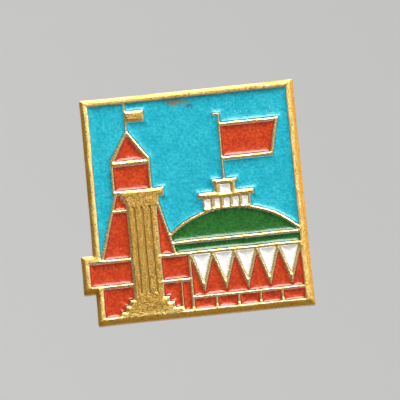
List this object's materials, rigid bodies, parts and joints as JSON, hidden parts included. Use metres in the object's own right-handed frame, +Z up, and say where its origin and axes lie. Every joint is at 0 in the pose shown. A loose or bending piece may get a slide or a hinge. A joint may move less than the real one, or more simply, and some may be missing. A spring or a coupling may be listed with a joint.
{
  "type": "enamel pin",
  "caption": "Square stamped metal pin badge with recessed enamel picture cells and a hinged needle clasp on the back.",
  "frame": {"origin": "centre of the square plate's flat back, where it lies against the lapel", "axes": "+Z up as worn, +X to the viewer's right, the picture faces -Y"},
  "size_m": [0.0242, 0.004, 0.0248],
  "materials": {
    "plate_metal": "stamped, grained and tarnished",
    "clasp_brass": "drawn sheet",
    "needle_steel": "drawn wire",
    "solder": "dull tin",
    "red_enamel": "glossy cold enamel",
    "sky_enamel": "glossy cold enamel",
    "green_enamel": "glossy cold enamel",
    "white_enamel": "glossy cold enamel"
  },
  "bodies": {
    "badge": {"badge_plate": "plate_metal", "hinge_solder": "solder", "hook_solder": "solder", "hinge_bracket": "clasp_brass", "hinge_rivet": "clasp_brass", "catch_hook": "clasp_brass", "roof_enamel": "red_enamel", "drum_enamel": "red_enamel", "tower_enamel_upper": "red_enamel", "tower_enamel_left": "red_enamel", "tower_enamel_right": "red_enamel", "wall_enamel_left": "red_enamel", "wall_enamel_right": "red_enamel", "base_enamel_left": "red_enamel", "base_enamel_right": "red_enamel", "gate_enamel": "red_enamel", "flag_enamel": "red_enamel", "field_enamel": "red_enamel", "brick_enamel_1": "red_enamel", "brick_enamel_2": "red_enamel", "brick_enamel_3": "red_enamel", "brick_enamel_4": "red_enamel", "brick_enamel_5": "red_enamel", "sky_enamel_left": "sky_enamel", "sky_enamel_main": "sky_enamel", "dome_enamel": "green_enamel", "terrace_enamel": "green_enamel", "window_enamel": "white_enamel", "attic_window_enamel": "white_enamel", "pennant_enamel_1": "white_enamel", "pennant_enamel_2": "white_enamel", "pennant_enamel_3": "white_enamel", "pennant_enamel_4": "white_enamel", "pennant_enamel_5": "white_enamel"},
    "knuckle": {"needle_knuckle": "clasp_brass"},
    "pin_wire": {"needle": "needle_steel"}
  },
  "joints": [
    {"name": "needle_hinge", "type": "hinge", "parent": "badge", "child": "knuckle", "pos_m": [0.0072, 0.00165, 0], "axis": [0, 0, -1], "range_deg": [0, 90]},
    {"name": "needle_flex", "type": "hinge", "parent": "knuckle", "child": "pin_wire", "pos_m": [0.0057, 0.00165, 0], "axis": [0, -1, 0], "range_deg": [0, 4], "stiffness_Nm_per_rad": 0.44}
  ]
}
